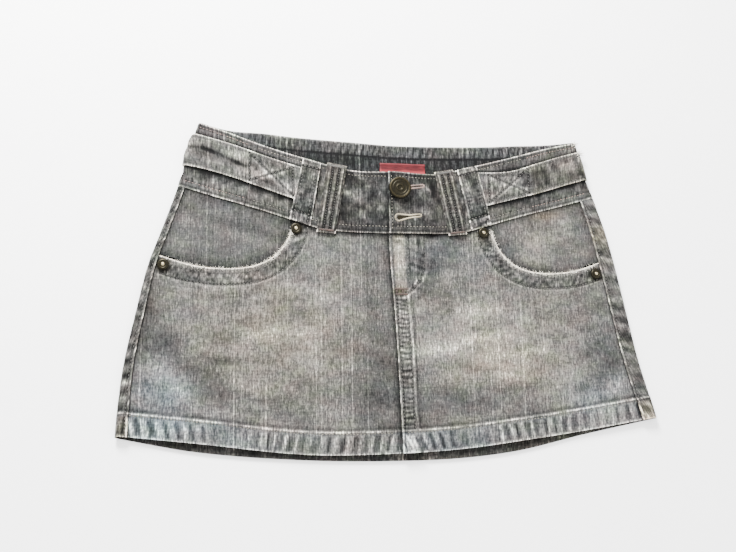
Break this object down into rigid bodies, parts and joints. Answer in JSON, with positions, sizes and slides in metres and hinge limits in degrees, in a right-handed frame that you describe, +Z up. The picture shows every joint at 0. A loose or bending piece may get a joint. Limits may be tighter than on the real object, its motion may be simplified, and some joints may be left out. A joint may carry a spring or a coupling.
{
  "type": "denim skirt",
  "caption": "Short flared denim skirt laid flat, with a shaped waistband, tab straps, belt loops and scooped front pockets.",
  "frame": {"origin": "middle of the flat underside of the skirt as it lies, at the centre of its box", "axes": "+X towards the wearer's left, +Y from hem to waist, +Z up from the surface it lies on"},
  "size_m": [0.5074, 0.317, 0.0109],
  "materials": {
    "washed_denim": "faded grey denim twill",
    "denim_inside": "darker grey denim twill, inside of the waist",
    "facing_denim": "grey denim twill in the pocket openings",
    "antique_brass": "aged, satin",
    "red_label_cloth": "plain woven tab",
    "zip_tape": "woven tape"
  },
  "bodies": {
    "root": {"back_panel_left": "washed_denim", "back_panel_right": "washed_denim", "button": "antique_brass", "fly_zip": "zip_tape", "front_panel_left": "washed_denim", "front_panel_right": "washed_denim", "loop_narrow_left": "washed_denim", "loop_narrow_right": "washed_denim", "loop_wide_left": "washed_denim", "loop_wide_right": "washed_denim", "pocket_facing_left": "facing_denim", "pocket_facing_right": "facing_denim", "rivet_inner_left": "antique_brass", "rivet_inner_right": "antique_brass", "rivet_outer_left": "antique_brass", "rivet_outer_right": "antique_brass", "strap_left": "washed_denim", "strap_right": "washed_denim", "waist_label": "red_label_cloth", "waistband_back": "denim_inside", "waistband_front_left": "washed_denim", "waistband_front_right": "washed_denim"}
  },
  "joints": []
}
